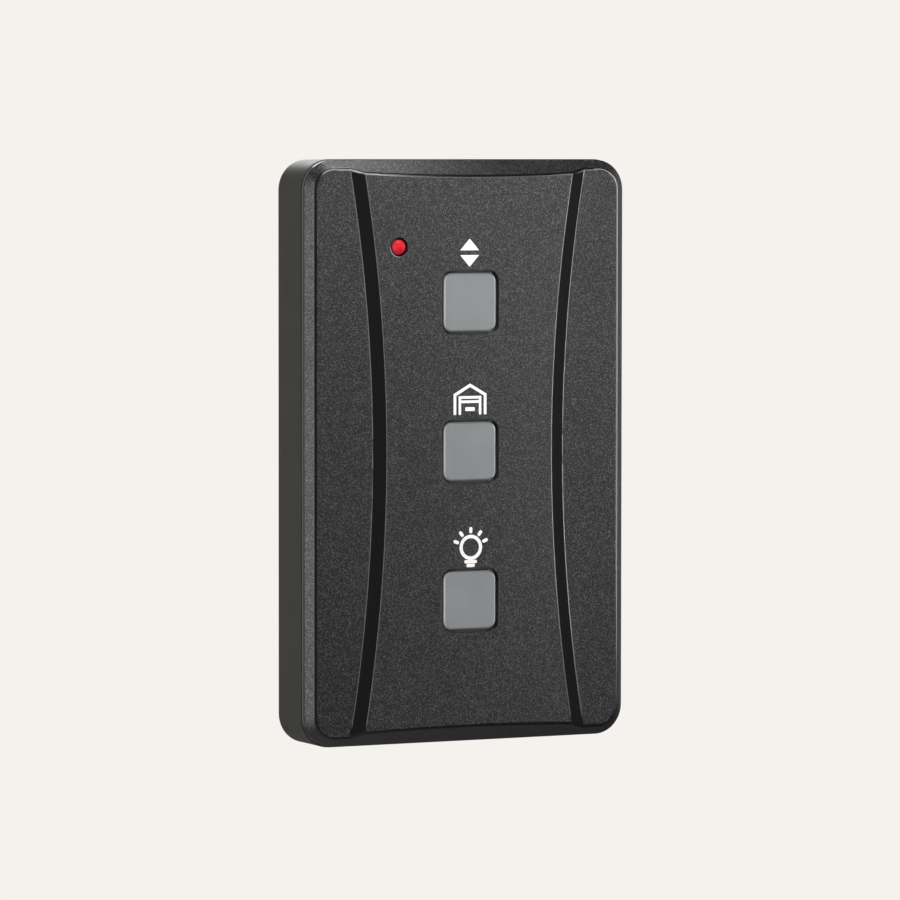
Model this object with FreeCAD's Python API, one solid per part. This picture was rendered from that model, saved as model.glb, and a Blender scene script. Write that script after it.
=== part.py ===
import FreeCAD, Part
import math
import os

# Wireless wall button: a shallow black case that hangs on two wall screws, with three keys and a signal lamp.
# Millimetres. X points right, Z points up, and the front faces -Y.
# A depth is the distance of a plane in front of the wall, so a point at depth d has y = -d.

Vector = FreeCAD.Vector
FRONT = Vector(0, -1, 0)

# Rear case: a tray, a little smaller at the wall than at its rim
CASE_WIDTH = 70.2
CASE_HEIGHT = 114.3
CASE_DEPTH = 10.6
CASE_CORNER = 6.0
CASE_DRAFT = 0.1
CASE_WALL = 1.8
CASE_FLOOR = 2.2
CASE_BACK_CHAMFER = 0.4

# Front cover: a skirt, a bevel all round, and a face in three fields
COVER_STEP = 0.15
PARTING_GAP = 0.15
SKIRT = 1.2
BEVEL_INSET = 1.75
BEVEL_RISE = 1.35
FACE_FILLET = 1.0
LOBE_WALL = 1.8
PANEL_WALL = 2.0

# Bowed ramps: the polished slopes from the side lobes up to the middle panel
LOBE_SPAN = 14.2
RAMP_FOOT_RADIUS = 317.0
RAMP_WIDTH = 2.8
RAMP_RISE = 0.62
RAMP_FILLET = 0.9
CROWN_RISE = 0.42

# Tongue: the cover's inner lip that locates it in the case
TONGUE_LENGTH = 2.0
TONGUE_THICKNESS = 1.0
TONGUE_GAP = 0.1

# Keys: grey caps, each trapped behind the panel by a flange that slides in a square guide
KEY_PITCH = 29.2
KEY_SIZE = 11.5
KEY_CORNER = 1.8
KEY_GAP = 0.5
KEY_RECESS = 0.3
OPENING_FILLET = 0.1
KEY_EDGE_CHAMFER = 0.35
KEY_TRAVEL = 0.5
KEY_TOP_WALL = 1.1
KEY_SIDE_WALL = 1.2
KEY_FLANGE_WIDTH = 1.2
KEY_FLANGE_THICKNESS = 0.65
KEY_STOP_GAP = 0.05
KEY_STEM_SIZE = 3.0
KEY_STEM_GAP = 0.02
GUIDE_GAP = 0.15
GUIDE_WALL = 1.2
GUIDE_REACH = 2.2

# Signal lamp: a round lamp with a domed end, inside the left ramp and below the case's top
LAMP_INSET = 5.4
LAMP_DROP = 17.05
LAMP_RADIUS = 1.5
LAMP_LENGTH = 4.9
LAMP_PROUD = 0.95
LAMP_HOLE_GAP = 0.25
LAMP_HOLE_FILLET = 0.15
LAMP_LEAD = 0.5
LAMP_LEAD_PITCH = 2.54
LEAD_TAIL = 1.0

# Circuit board
BOARD_SIDE_MARGIN = 7.1
BOARD_END_MARGIN = 13.15
BOARD_CORNER = 1.5
BOARD_BACK = 7.2
BOARD_THICKNESS = 1.0
BOARD_HOLE_GAP = 0.15
BOARD_SEAT_GAP = 0.02

# Push switches under the keys
SWITCH_SIZE = 6.0
SWITCH_HEIGHT = 3.3
SWITCH_WELL_SIZE = 4.8
SWITCH_WELL_DEPTH = 1.3
FRAME_THICKNESS = 0.2
FRAME_TAB_LENGTH = 1.4
PLUNGER_SIZE = 3.5
PLUNGER_COLLAR_SIZE = 4.5
PLUNGER_COLLAR = 0.45
PLUNGER_LAND = 0.25
PLUNGER_GAP = 0.1
DISC_RADIUS = 2.2
DISC_THICKNESS = 0.15
TERMINAL_WIDTH = 0.7
TERMINAL_THICKNESS = 0.2
TERMINAL_REACH = 1.3
TERMINAL_HEIGHT = 1.0
TERMINAL_PITCH = 4.5

# Radio parts on the board
CHIP_X = 16.0
CHIP_Z = 14.0
CHIP_LENGTH = 8.7
CHIP_WIDTH = 3.9
CHIP_HEIGHT = 1.5
CHIP_STANDOFF = 0.1
PIN_COUNT = 14
PIN_PITCH = 1.27
PIN_WIDTH = 0.42
PIN_THICKNESS = 0.2
PIN_REACH = 1.05
CRYSTAL_X = 16.0
CRYSTAL_Z = 3.0
CRYSTAL_LENGTH = 5.0
CRYSTAL_WIDTH = 3.2
CRYSTAL_HEIGHT = 1.1
CAPACITOR_X = -17.0
CAPACITOR_Z = -14.0
CAPACITOR_RADIUS = 2.0
CAPACITOR_HEIGHT = 2.8
CAPACITOR_BASE = 0.6
CHIP_PART_LENGTH = 2.0
CHIP_PART_WIDTH = 1.25
CHIP_PART_HEIGHT = 0.6
CHIP_PART_PITCH = 3.0
CHIP_PART_COUNT = 5
CHIP_CAPACITOR_X = -17.0
CHIP_CAPACITOR_Z = 8.0
CHIP_RESISTOR_X = 16.0
CHIP_RESISTOR_Z = -13.0
ANTENNA_INSET = 2.6
ANTENNA_LENGTH = 60.0
ANTENNA_WIDTH = 0.8
ANTENNA_THICKNESS = 0.4
ANTENNA_RISE = 2.3

# Coin cell, its bay and its holder
BAY_Z = -15.5
CELL_RADIUS = 10.0
CELL_THICKNESS = 3.2
CELL_CAP_RADIUS = 8.6
CELL_CAP_HEIGHT = 0.3
CELL_SPACE = 0.5
HOLDER_GAP = 0.2
HOLDER_WALL = 1.7
HOLDER_HEIGHT = 3.0
HOLDER_NOTCH = 5.0
CONTACT_THICKNESS = 0.2
CONTACT_WIDTH = 4.0
CONTACT_TOUCH_GAP = 0.02
PLUS_CONTACT_HEIGHT = 2.9
PLUS_CONTACT_FOOT = 2.2
MINUS_CONTACT_LENGTH = 12.0
MINUS_CONTACT_TIP = 3.0

# Battery door: a round lid that turns in the back of the case, held by three tabs
DOOR_RADIUS = 13.0
DOOR_INSET = 0.2
DOOR_FLANGE = 1.0
DOOR_SEAT_GAP = 0.05
DOOR_GAP = 0.1
DOOR_HUB_RADIUS = 11.6
DOOR_HUB_BORE = 9.0
DOOR_FACE = 1.8
TAB_COUNT = 3
TAB_SWEEP = 32.0
TAB_REACH = 1.2
TAB_THICKNESS = 0.8
NOTCH_SWEEP = 38.0
DOOR_TURN = 45.0
COIN_SLOT_LENGTH = 17.0
COIN_SLOT_WIDTH = 1.8
COIN_SLOT_DEPTH = 1.0
BAY_WALL_GAP = 0.6
BAY_WALL = 1.2

# Keyholes for two wall screws on the standard pitch of a single wall box
WALL_SCREW_PITCH = 83.3
KEYHOLE_ENTRY_RADIUS = 4.25
KEYHOLE_SLOT_RADIUS = 2.25
KEYHOLE_RISE = 6.5

# Cover screws, driven from the back through the case into the cover's bosses
COVER_SCREW_SIDE_INSET = 6.6
COVER_SCREW_END_INSET = 8.15
COVER_SCREW_RADIUS = 1.25
COVER_SCREW_LENGTH = 7.0
COVER_SCREW_HEAD_RADIUS = 2.3
COVER_SCREW_HEAD = 1.6
RECESS_LENGTH = 2.7
RECESS_WIDTH = 0.6
RECESS_DEPTH = 0.8
SCREW_FIT = 0.02
SCREW_CLEARANCE = 0.2
HEAD_CLEARANCE = 0.3
HEAD_SEAT_DEPTH = 3.4
PILLAR_HEIGHT = 5.0
PILLAR_WALL = 1.0
BOSS_WALL = 1.3
BOSS_GAP = 0.1

# Board screws, driven from the front into posts on the case floor
BOARD_SCREW_SIDE_INSET = 6.5
BOARD_SCREW_END_INSET = 6.0
BOARD_SCREW_RADIUS = 0.95
BOARD_SCREW_LENGTH = 4.6
BOARD_SCREW_HEAD_RADIUS = 1.9
BOARD_SCREW_HEAD = 1.3
POST_WALL = 1.4

# Depths and places that follow from the sizes above
SKIRT_BACK = CASE_DEPTH + PARTING_GAP
SKIRT_FRONT = SKIRT_BACK + SKIRT
LOBE_DEPTH = SKIRT_FRONT + BEVEL_RISE
CREST_DEPTH = LOBE_DEPTH + RAMP_RISE
PANEL_DEPTH = CREST_DEPTH + CROWN_RISE
PANEL_CEILING = PANEL_DEPTH - PANEL_WALL
LOBE_CEILING = LOBE_DEPTH - LOBE_WALL
RAMP_FOOT_X = CASE_WIDTH / 2 - LOBE_SPAN
RAMP_CENTRE_X = RAMP_FOOT_X + RAMP_FOOT_RADIUS
COVER_WIDTH = CASE_WIDTH - 2 * COVER_STEP
COVER_HEIGHT = CASE_HEIGHT - 2 * COVER_STEP
COVER_CORNER = CASE_CORNER - COVER_STEP
KEY_CENTRES = [KEY_PITCH, 0.0, -KEY_PITCH]
OPENING_SIZE = KEY_SIZE + 2 * KEY_GAP
OPENING_CORNER = KEY_CORNER + KEY_GAP
FLANGE_SIZE = KEY_SIZE + 2 * KEY_FLANGE_WIDTH
GUIDE_SIZE = FLANGE_SIZE + 2 * GUIDE_GAP
BOARD_FRONT = BOARD_BACK + BOARD_THICKNESS
BOARD_WIDTH = CASE_WIDTH - 2 * BOARD_SIDE_MARGIN
BOARD_HEIGHT = CASE_HEIGHT - 2 * BOARD_END_MARGIN
ANTENNA_X = BOARD_WIDTH / 2 - ANTENNA_INSET
SWITCH_TOP = BOARD_FRONT + SWITCH_HEIGHT
FRAME_TOP = SWITCH_TOP + FRAME_THICKNESS
PLUNGER_TOP = FRAME_TOP + KEY_TRAVEL + PLUNGER_LAND
WELL_FLOOR = SWITCH_TOP - SWITCH_WELL_DEPTH
LAMP_X = LAMP_INSET - RAMP_FOOT_X
LAMP_Z = CASE_HEIGHT / 2 - LAMP_DROP
LAMP_TOP = CREST_DEPTH + LAMP_PROUD
LAMP_FOOT = LAMP_TOP - LAMP_LENGTH
CELL_FRONT = BOARD_BACK - CELL_SPACE
CELL_BACK = CELL_FRONT - CELL_THICKNESS
DOOR_BACK = DOOR_INSET
DOOR_FLANGE_FRONT = DOOR_BACK + DOOR_FLANGE
DOOR_SEAT = DOOR_FLANGE_FRONT + DOOR_SEAT_GAP
TAB_BACK = CASE_FLOOR + DOOR_GAP
TAB_FRONT = TAB_BACK + TAB_THICKNESS
TAB_RADIUS = DOOR_HUB_RADIUS + TAB_REACH
BAY_BORE = TAB_RADIUS + BAY_WALL_GAP
COVER_SCREW_X = CASE_WIDTH / 2 - COVER_SCREW_SIDE_INSET
COVER_SCREW_Z = CASE_HEIGHT / 2 - COVER_SCREW_END_INSET
BOARD_SCREW_X = BOARD_WIDTH / 2 - BOARD_SCREW_SIDE_INSET
BOARD_SCREW_Z = BOARD_HEIGHT / 2 - BOARD_SCREW_END_INSET
COVER_SCREW_POINTS = [(sx * COVER_SCREW_X, sz * COVER_SCREW_Z) for sx in (-1, 1) for sz in (-1, 1)]
BOARD_SCREW_POINTS = [(sx * BOARD_SCREW_X, sz * BOARD_SCREW_Z) for sx in (-1, 1) for sz in (-1, 1)]
LEAD_XS = [LAMP_X - LAMP_LEAD_PITCH / 2, LAMP_X + LAMP_LEAD_PITCH / 2]


def outline(width, height, corner, depth, x=0.0, z=0.0):
    """Rounded rectangle in the plane at that depth, centred on x and z."""
    right = width / 2 - corner
    top = height / 2 - corner
    diagonal = corner * math.sqrt(0.5)
    edges = []
    corners = [(right, top, 1, 1), (-right, top, -1, 1), (-right, -top, -1, -1), (right, -top, 1, -1)]
    ends = []
    for cx, cz, sx, sz in corners:
        side = Vector(x + cx + sx * corner, -depth, z + cz)
        middle = Vector(x + cx + sx * diagonal, -depth, z + cz + sz * diagonal)
        end = Vector(x + cx, -depth, z + cz + sz * corner)
        if sx * sz > 0:
            ends.append((side, middle, end))
        else:
            ends.append((end, middle, side))
    for i, (start, middle, end) in enumerate(ends):
        edges.append(Part.Arc(start, middle, end).toShape())
        edges.append(Part.LineSegment(end, ends[(i + 1) % 4][0]).toShape())
    return Part.Wire(edges)


def prism(width, height, corner, back, front, x=0.0, z=0.0):
    """Rounded-rectangle block from one depth to another."""
    return Part.Face(outline(width, height, corner, back, x, z)).extrude(FRONT * (front - back))


def tapered(width, height, corner, back, front, inset):
    """Rounded-rectangle block whose sides lean in by the inset on the way to the second depth."""
    right = width / 2 - corner
    top = height / 2 - corner
    end = corner - inset
    across = [Vector(-right - corner, -back, -top), Vector(right + corner, -back, -top),
              Vector(right + end, -front, -top), Vector(-right - end, -front, -top)]
    along = [Vector(-right, -back, -top - corner), Vector(-right, -back, top + corner),
             Vector(-right, -front, top + end), Vector(-right, -front, -top - end)]
    body = Part.Face(Part.makePolygon(across + across[:1])).extrude(Vector(0, 0, 2 * top))
    body = body.fuse(Part.Face(Part.makePolygon(along + along[:1])).extrude(Vector(2 * right, 0, 0)))
    way = Vector(0, back - front, 0)
    for x, z in ((right, top), (-right, top), (-right, -top), (right, -top)):
        body = body.fuse(Part.makeCone(corner, end, way.Length, Vector(x, -back, z), way))
    return body.removeSplitter()


def rod(radius, back, front, x=0.0, z=0.0):
    """Round rod along the depth direction."""
    return Part.makeCylinder(radius, front - back, Vector(x, -back, z), FRONT)


def block(width, height, back, front, x=0.0, z=0.0):
    """Plain block centred on x and z."""
    return Part.makeBox(width, front - back, height, Vector(x - width / 2, -front, z - height / 2))


def ring_sector(inner, outer, back, front, middle_angle, sweep):
    """Part of a flat ring about the depth axis through the bay's centre."""
    centre = Vector(0, 0, BAY_Z)
    start = Vector(0, -back, BAY_Z)
    piece = Part.makeCylinder(outer, front - back, start, FRONT, sweep)
    piece = piece.cut(Part.makeCylinder(inner, front - back, start, FRONT))
    piece.rotate(centre, Vector(0, 1, 0), middle_angle - sweep / 2)
    return piece


def strip(points, width, z):
    """Bent sheet-metal strip: a side outline given as x and depth, as wide as asked along Z."""
    corners = [Vector(px, -depth, z - width / 2) for px, depth in points]
    face = Part.Face(Part.makePolygon(corners + corners[:1]))
    return face.extrude(Vector(0, 0, width))


def turned(points, z):
    """Round piece turned about the depth axis from a side outline given as radius and depth."""
    corners = [Vector(radius, -depth, z) for radius, depth in points]
    face = Part.Face(Part.makePolygon(corners + corners[:1]))
    return face.revolve(Vector(0, 0, z), Vector(0, 1, 0), 360)


def edges_where(shape, test):
    """Edges whose two ends and middle all pass the test."""
    chosen = []
    for edge in shape.Edges:
        first = edge.FirstParameter
        last = edge.LastParameter
        if all(test(edge.valueAt(first + (last - first) * t)) for t in (0.0, 0.5, 1.0)):
            chosen.append(edge)
    return chosen


def ramp_cutter(side):
    """Wide cone about a far axis whose flank is one bowed ramp."""
    height = BEVEL_RISE + RAMP_RISE
    spread = height * RAMP_WIDTH / RAMP_RISE
    foot = Vector(side * RAMP_CENTRE_X, -LOBE_DEPTH, 0)
    return Part.makeCone(RAMP_FOOT_RADIUS, RAMP_FOOT_RADIUS + spread, height, foot, FRONT)


def crown_cutter():
    """What lies in front of the crowned panel, which meets both ramps' crests at one depth all along."""
    front = CREST_DEPTH + BEVEL_RISE
    sections = []
    for z in (-COVER_HEIGHT / 2, 0.0, COVER_HEIGHT / 2):
        crest = RAMP_CENTRE_X - math.sqrt((RAMP_FOOT_RADIUS + RAMP_WIDTH) ** 2 - z ** 2)
        reach = crest + RAMP_WIDTH / 2
        edge = PANEL_DEPTH - CROWN_RISE * (reach / crest) ** 2
        left = Vector(-reach, -edge, z)
        right = Vector(reach, -edge, z)
        front_left = Vector(-reach, -front, z)
        front_right = Vector(reach, -front, z)
        sections.append(Part.Wire([
            Part.Arc(left, Vector(0, -PANEL_DEPTH, z), right).toShape(),
            Part.LineSegment(right, front_right).toShape(),
            Part.LineSegment(front_right, front_left).toShape(),
            Part.LineSegment(front_left, left).toShape(),
        ]))
    return Part.makeLoft(sections, True)


def cover_blank():
    """Outside of the front cover: skirt, bevel, lobes, ramps and crowned panel."""
    top = CREST_DEPTH + BEVEL_RISE / 2
    lean = BEVEL_INSET * (top - SKIRT_FRONT) / BEVEL_RISE
    skirt = prism(COVER_WIDTH, COVER_HEIGHT, COVER_CORNER, SKIRT_BACK, SKIRT_FRONT)
    blank = skirt.fuse(tapered(COVER_WIDTH, COVER_HEIGHT, COVER_CORNER, SKIRT_FRONT, top, lean))
    blank = blank.cut(crown_cutter())
    for side in (-1, 1):
        blank = blank.cut(ramp_cutter(side))
    return round_cover(blank.removeSplitter())


def round_cover(blank):
    """Rounds the ramps' two long edges and the whole rim of the face."""
    slack = 0.01

    def on_ramp_edge(point):
        side = 1 if point.x > 0 else -1
        spread = math.hypot(point.x - side * RAMP_CENTRE_X, point.z) - RAMP_FOOT_RADIUS
        rise = -point.y - LOBE_DEPTH
        return abs(spread - rise * RAMP_WIDTH / RAMP_RISE) < slack and rise > -slack

    ramp_edges = [edge for edge in edges_where(blank, on_ramp_edge) if edge.Length > COVER_HEIGHT / 2]
    blank = blank.makeFillet(RAMP_FILLET, ramp_edges)

    def on_face_rim(point):
        depth = -point.y
        if depth < LOBE_DEPTH - slack:
            return False
        lean = BEVEL_INSET * (depth - SKIRT_FRONT) / BEVEL_RISE
        out_x = abs(point.x) - COVER_WIDTH / 2 + COVER_CORNER
        out_z = abs(point.z) - COVER_HEIGHT / 2 + COVER_CORNER
        reach = math.hypot(out_x, out_z) if min(out_x, out_z) > 0 else max(out_x, out_z)
        return reach > COVER_CORNER - lean - 5 * slack

    return blank.makeFillet(FACE_FILLET, edges_where(blank, on_face_rim))


def front_cover():
    """Cover shell with its tongue, key openings and guides, lamp hole and screw bosses."""
    cover = cover_blank()
    mouth_width = CASE_WIDTH - 2 * (CASE_WALL + TONGUE_GAP)
    mouth_height = CASE_HEIGHT - 2 * (CASE_WALL + TONGUE_GAP)
    mouth_corner = CASE_CORNER - CASE_WALL - TONGUE_GAP
    tongue = prism(mouth_width, mouth_height, mouth_corner, CASE_DEPTH - TONGUE_LENGTH, SKIRT_BACK)
    cover = cover.fuse(tongue)
    room_width = mouth_width - 2 * TONGUE_THICKNESS
    room_height = mouth_height - 2 * TONGUE_THICKNESS
    room_corner = mouth_corner - TONGUE_THICKNESS
    room_back = CASE_DEPTH - TONGUE_LENGTH
    cover = cover.cut(prism(room_width, room_height, room_corner, room_back, LOBE_CEILING))
    panel_room = prism(room_width, room_height, room_corner, LOBE_CEILING, PANEL_CEILING)
    for side in (-1, 1):
        far = RAMP_FOOT_RADIUS + RAMP_WIDTH
        panel_room = panel_room.cut(rod(far, LOBE_CEILING, PANEL_CEILING, side * RAMP_CENTRE_X))
    cover = cover.cut(panel_room)
    guide_outer = GUIDE_SIZE + 2 * GUIDE_WALL
    guide_back = PANEL_CEILING - GUIDE_REACH
    for z in KEY_CENTRES:
        guide = block(guide_outer, guide_outer, guide_back, PANEL_CEILING, 0, z)
        guide = guide.cut(block(GUIDE_SIZE, GUIDE_SIZE, guide_back, PANEL_CEILING, 0, z))
        cover = cover.fuse(guide)
    for x, z in COVER_SCREW_POINTS:
        boss_back = PILLAR_HEIGHT + BOSS_GAP
        cover = cover.fuse(rod(COVER_SCREW_RADIUS + BOSS_WALL, boss_back, LOBE_CEILING, x, z))
    for x, z in COVER_SCREW_POINTS:
        pilot_front = HEAD_SEAT_DEPTH + COVER_SCREW_LENGTH + SCREW_CLEARANCE
        cover = cover.cut(rod(COVER_SCREW_RADIUS + SCREW_FIT, PILLAR_HEIGHT, pilot_front, x, z))
    for z in KEY_CENTRES:
        opening = prism(OPENING_SIZE, OPENING_SIZE, OPENING_CORNER, PANEL_CEILING, PANEL_DEPTH + 1, 0, z)
        cover = cover.cut(opening)
    lamp_hole = rod(LAMP_RADIUS + LAMP_HOLE_GAP, LOBE_CEILING, PANEL_DEPTH + 1, LAMP_X, LAMP_Z)
    return round_openings(cover.cut(lamp_hole).removeSplitter())


def round_openings(cover):
    """Rounds the front edges of the key openings and of the lamp hole."""
    def on_opening(point):
        in_front = -point.y > CREST_DEPTH
        reach = OPENING_SIZE / 2 + 0.1
        return in_front and any(abs(point.x) < reach and abs(point.z - z) < reach for z in KEY_CENTRES)

    def on_lamp_hole(point):
        in_front = -point.y > CREST_DEPTH
        return in_front and math.hypot(point.x - LAMP_X, point.z - LAMP_Z) < LAMP_RADIUS + 2 * LAMP_HOLE_GAP

    cover = cover.makeFillet(OPENING_FILLET, edges_where(cover, on_opening))
    return cover.makeFillet(LAMP_HOLE_FILLET, edges_where(cover, on_lamp_hole))


def keyhole(hang_z):
    """Keyhole through the case floor: a screw head enters low and its shank rises into the slot."""
    entry_z = hang_z - KEYHOLE_RISE
    entry = rod(KEYHOLE_ENTRY_RADIUS, 0, CASE_FLOOR, 0, entry_z)
    slot = block(2 * KEYHOLE_SLOT_RADIUS, KEYHOLE_RISE, 0, CASE_FLOOR, 0, (entry_z + hang_z) / 2)
    return entry.fuse(slot).fuse(rod(KEYHOLE_SLOT_RADIUS, 0, CASE_FLOOR, 0, hang_z))


def rear_case():
    """Tray with wall keyholes, battery bay, board posts and screw pillars."""
    case = tapered(CASE_WIDTH, CASE_HEIGHT, CASE_CORNER, CASE_DEPTH, 0, CASE_DRAFT)
    case = case.makeChamfer(CASE_BACK_CHAMFER, edges_where(case, lambda p: abs(p.y) < 0.01))
    room = prism(CASE_WIDTH - 2 * CASE_WALL, CASE_HEIGHT - 2 * CASE_WALL, CASE_CORNER - CASE_WALL,
                 CASE_FLOOR, CASE_DEPTH)
    case = case.cut(room)
    for x, z in COVER_SCREW_POINTS:
        side = 2 * (COVER_SCREW_HEAD_RADIUS + HEAD_CLEARANCE + PILLAR_WALL)
        case = case.fuse(block(side, side, CASE_FLOOR, PILLAR_HEIGHT, x, z))
    post_front = BOARD_BACK - BOARD_SEAT_GAP
    for x, z in BOARD_SCREW_POINTS:
        side = 2 * (BOARD_SCREW_RADIUS + POST_WALL)
        case = case.fuse(block(side, side, CASE_FLOOR, post_front, x, z))
    bay = rod(BAY_BORE + BAY_WALL, CASE_FLOOR, post_front, 0, BAY_Z)
    case = case.fuse(bay)
    for x, z in COVER_SCREW_POINTS:
        case = case.cut(rod(COVER_SCREW_HEAD_RADIUS + HEAD_CLEARANCE, 0, HEAD_SEAT_DEPTH, x, z))
        case = case.cut(rod(COVER_SCREW_RADIUS + SCREW_CLEARANCE, HEAD_SEAT_DEPTH, PILLAR_HEIGHT, x, z))
    pilot_back = BOARD_FRONT - BOARD_SCREW_LENGTH - SCREW_CLEARANCE
    for x, z in BOARD_SCREW_POINTS:
        case = case.cut(rod(BOARD_SCREW_RADIUS + SCREW_FIT, pilot_back, post_front, x, z))
    case = case.cut(rod(BAY_BORE, CASE_FLOOR, post_front, 0, BAY_Z))
    case = case.cut(rod(DOOR_RADIUS + DOOR_GAP, 0, DOOR_SEAT, 0, BAY_Z))
    case = case.cut(rod(DOOR_HUB_RADIUS + DOOR_GAP, DOOR_SEAT, CASE_FLOOR, 0, BAY_Z))
    for i in range(TAB_COUNT):
        angle = DOOR_TURN + i * 360 / TAB_COUNT
        notch = ring_sector(DOOR_HUB_RADIUS, TAB_RADIUS + DOOR_GAP, DOOR_SEAT, CASE_FLOOR, angle, NOTCH_SWEEP)
        case = case.cut(notch)
    for hang_z in (WALL_SCREW_PITCH / 2, -WALL_SCREW_PITCH / 2):
        case = case.cut(keyhole(hang_z))
    return case.removeSplitter()


def key_cap(z):
    """Hollow key cap: broken top edge, trapping flange and a stem for the plunger."""
    top = PANEL_DEPTH - KEY_RECESS
    flange_front = PANEL_CEILING - KEY_STOP_GAP
    flange_back = flange_front - KEY_FLANGE_THICKNESS
    body = prism(KEY_SIZE, KEY_SIZE, KEY_CORNER, flange_back, top, 0, z)
    body = body.makeChamfer(KEY_EDGE_CHAMFER, edges_where(body, lambda p: abs(p.y + top) < 0.01))
    cap = body.fuse(block(FLANGE_SIZE, FLANGE_SIZE, flange_back, flange_front, 0, z))
    room = KEY_SIZE - 2 * KEY_SIDE_WALL
    ceiling = top - KEY_TOP_WALL
    cap = cap.cut(block(room, room, flange_back, ceiling, 0, z))
    stem = block(KEY_STEM_SIZE, KEY_STEM_SIZE, PLUNGER_TOP + KEY_STEM_GAP, ceiling, 0, z)
    return cap.fuse(stem).removeSplitter()


def switch_housing(z):
    """Square switch body with a well for the plunger and its snap disc."""
    body = block(SWITCH_SIZE, SWITCH_SIZE, BOARD_FRONT, SWITCH_TOP, 0, z)
    return body.cut(block(SWITCH_WELL_SIZE, SWITCH_WELL_SIZE, WELL_FLOOR, SWITCH_TOP, 0, z))


def switch_frame(z):
    """Stamped steel frame on top of the switch body, with two side tabs that clasp it."""
    plate = block(SWITCH_SIZE, SWITCH_SIZE, SWITCH_TOP, FRAME_TOP, 0, z)
    for side in (-1, 1):
        tab_z = z + side * (SWITCH_SIZE + FRAME_THICKNESS) / 2
        tab = block(SWITCH_SIZE / 2, FRAME_THICKNESS, SWITCH_TOP - FRAME_TAB_LENGTH, FRAME_TOP, 0, tab_z)
        plate = plate.fuse(tab)
    hole = PLUNGER_SIZE + 2 * PLUNGER_GAP
    return plate.cut(block(hole, hole, SWITCH_TOP, FRAME_TOP, 0, z)).removeSplitter()


def switch_plunger(z):
    """Square plunger with a collar that stays under the frame."""
    collar_front = SWITCH_TOP - PLUNGER_GAP
    collar_back = collar_front - PLUNGER_COLLAR
    plunger = block(PLUNGER_SIZE, PLUNGER_SIZE, collar_back, PLUNGER_TOP, 0, z)
    collar = block(PLUNGER_COLLAR_SIZE, PLUNGER_COLLAR_SIZE, collar_back, collar_front, 0, z)
    return plunger.fuse(collar).removeSplitter()


def snap_disc(z):
    """Thin disc on the floor of the switch well, drawn pressed flat."""
    return rod(DISC_RADIUS, WELL_FLOOR, WELL_FLOOR + DISC_THICKNESS, 0, z)


def switch_terminals(z):
    """Four bent feet of one switch, which lie on the board."""
    feet = []
    for side in (-1, 1):
        inner = side * SWITCH_SIZE / 2
        outer = inner + side * TERMINAL_REACH
        shank = inner + side * TERMINAL_THICKNESS
        top = BOARD_FRONT + TERMINAL_HEIGHT
        sheet = BOARD_FRONT + TERMINAL_THICKNESS
        points = [(inner, BOARD_FRONT), (outer, BOARD_FRONT), (outer, sheet),
                  (shank, sheet), (shank, top), (inner, top)]
        for foot_z in (z - TERMINAL_PITCH / 2, z + TERMINAL_PITCH / 2):
            feet.append(strip(points, TERMINAL_WIDTH, foot_z))
    return feet


def circuit_board():
    """Board with its screw holes, lamp lead holes and antenna holes."""
    board = prism(BOARD_WIDTH, BOARD_HEIGHT, BOARD_CORNER, BOARD_BACK, BOARD_FRONT)
    for x, z in BOARD_SCREW_POINTS:
        board = board.cut(rod(BOARD_SCREW_RADIUS + SCREW_CLEARANCE, BOARD_BACK, BOARD_FRONT, x, z))
    lead_hole = LAMP_LEAD + 2 * BOARD_HOLE_GAP
    for x in LEAD_XS:
        board = board.cut(block(lead_hole, lead_hole, BOARD_BACK, BOARD_FRONT, x, LAMP_Z))
    for side in (-1, 1):
        foot_z = side * (ANTENNA_LENGTH - ANTENNA_THICKNESS) / 2
        slot_width = ANTENNA_WIDTH + 2 * BOARD_HOLE_GAP
        slot_height = ANTENNA_THICKNESS + 2 * BOARD_HOLE_GAP
        board = board.cut(block(slot_width, slot_height, BOARD_BACK, BOARD_FRONT, ANTENNA_X, foot_z))
    return board


def signal_lamp():
    """Domed lamp body, turned about its own axis."""
    shoulder = LAMP_TOP - LAMP_RADIUS
    body = rod(LAMP_RADIUS, LAMP_FOOT, shoulder, LAMP_X, LAMP_Z)
    dome = Part.makeSphere(LAMP_RADIUS, Vector(LAMP_X, -shoulder, LAMP_Z))
    return body.fuse(dome).removeSplitter()


def lamp_leads():
    """Two square leads from the lamp down through the board."""
    return [block(LAMP_LEAD, LAMP_LEAD, BOARD_BACK - LEAD_TAIL, LAMP_FOOT, x, LAMP_Z) for x in LEAD_XS]


def radio_chip():
    """Moulded chip body with a tapered upper half."""
    seat = BOARD_FRONT + CHIP_STANDOFF
    waist = seat + CHIP_HEIGHT / 2
    top = seat + CHIP_HEIGHT
    slope = CHIP_HEIGHT / 8
    left = CHIP_X - CHIP_WIDTH / 2
    right = CHIP_X + CHIP_WIDTH / 2
    points = [(left, seat), (right, seat), (right, waist),
              (right - slope, top), (left + slope, top), (left, waist)]
    return strip(points, CHIP_LENGTH, CHIP_Z)


def radio_chip_pins():
    """Two rows of gull-wing pins."""
    pins = []
    per_side = PIN_COUNT // 2
    shoulder = BOARD_FRONT + CHIP_STANDOFF + CHIP_HEIGHT / 2
    for side in (-1, 1):
        root = CHIP_X + side * CHIP_WIDTH / 2
        knee = root + side * PIN_REACH / 2
        toe = root + side * PIN_REACH
        inner_knee = knee - side * PIN_THICKNESS
        under = shoulder - PIN_THICKNESS
        sheet = BOARD_FRONT + PIN_THICKNESS
        points = [(root, shoulder), (root, under), (inner_knee, under), (inner_knee, BOARD_FRONT),
                  (toe, BOARD_FRONT), (toe, sheet), (knee, sheet), (knee, shoulder)]
        for i in range(per_side):
            z = CHIP_Z + (i - (per_side - 1) / 2) * PIN_PITCH
            pins.append(strip(points, PIN_WIDTH, z))
    return pins


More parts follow.
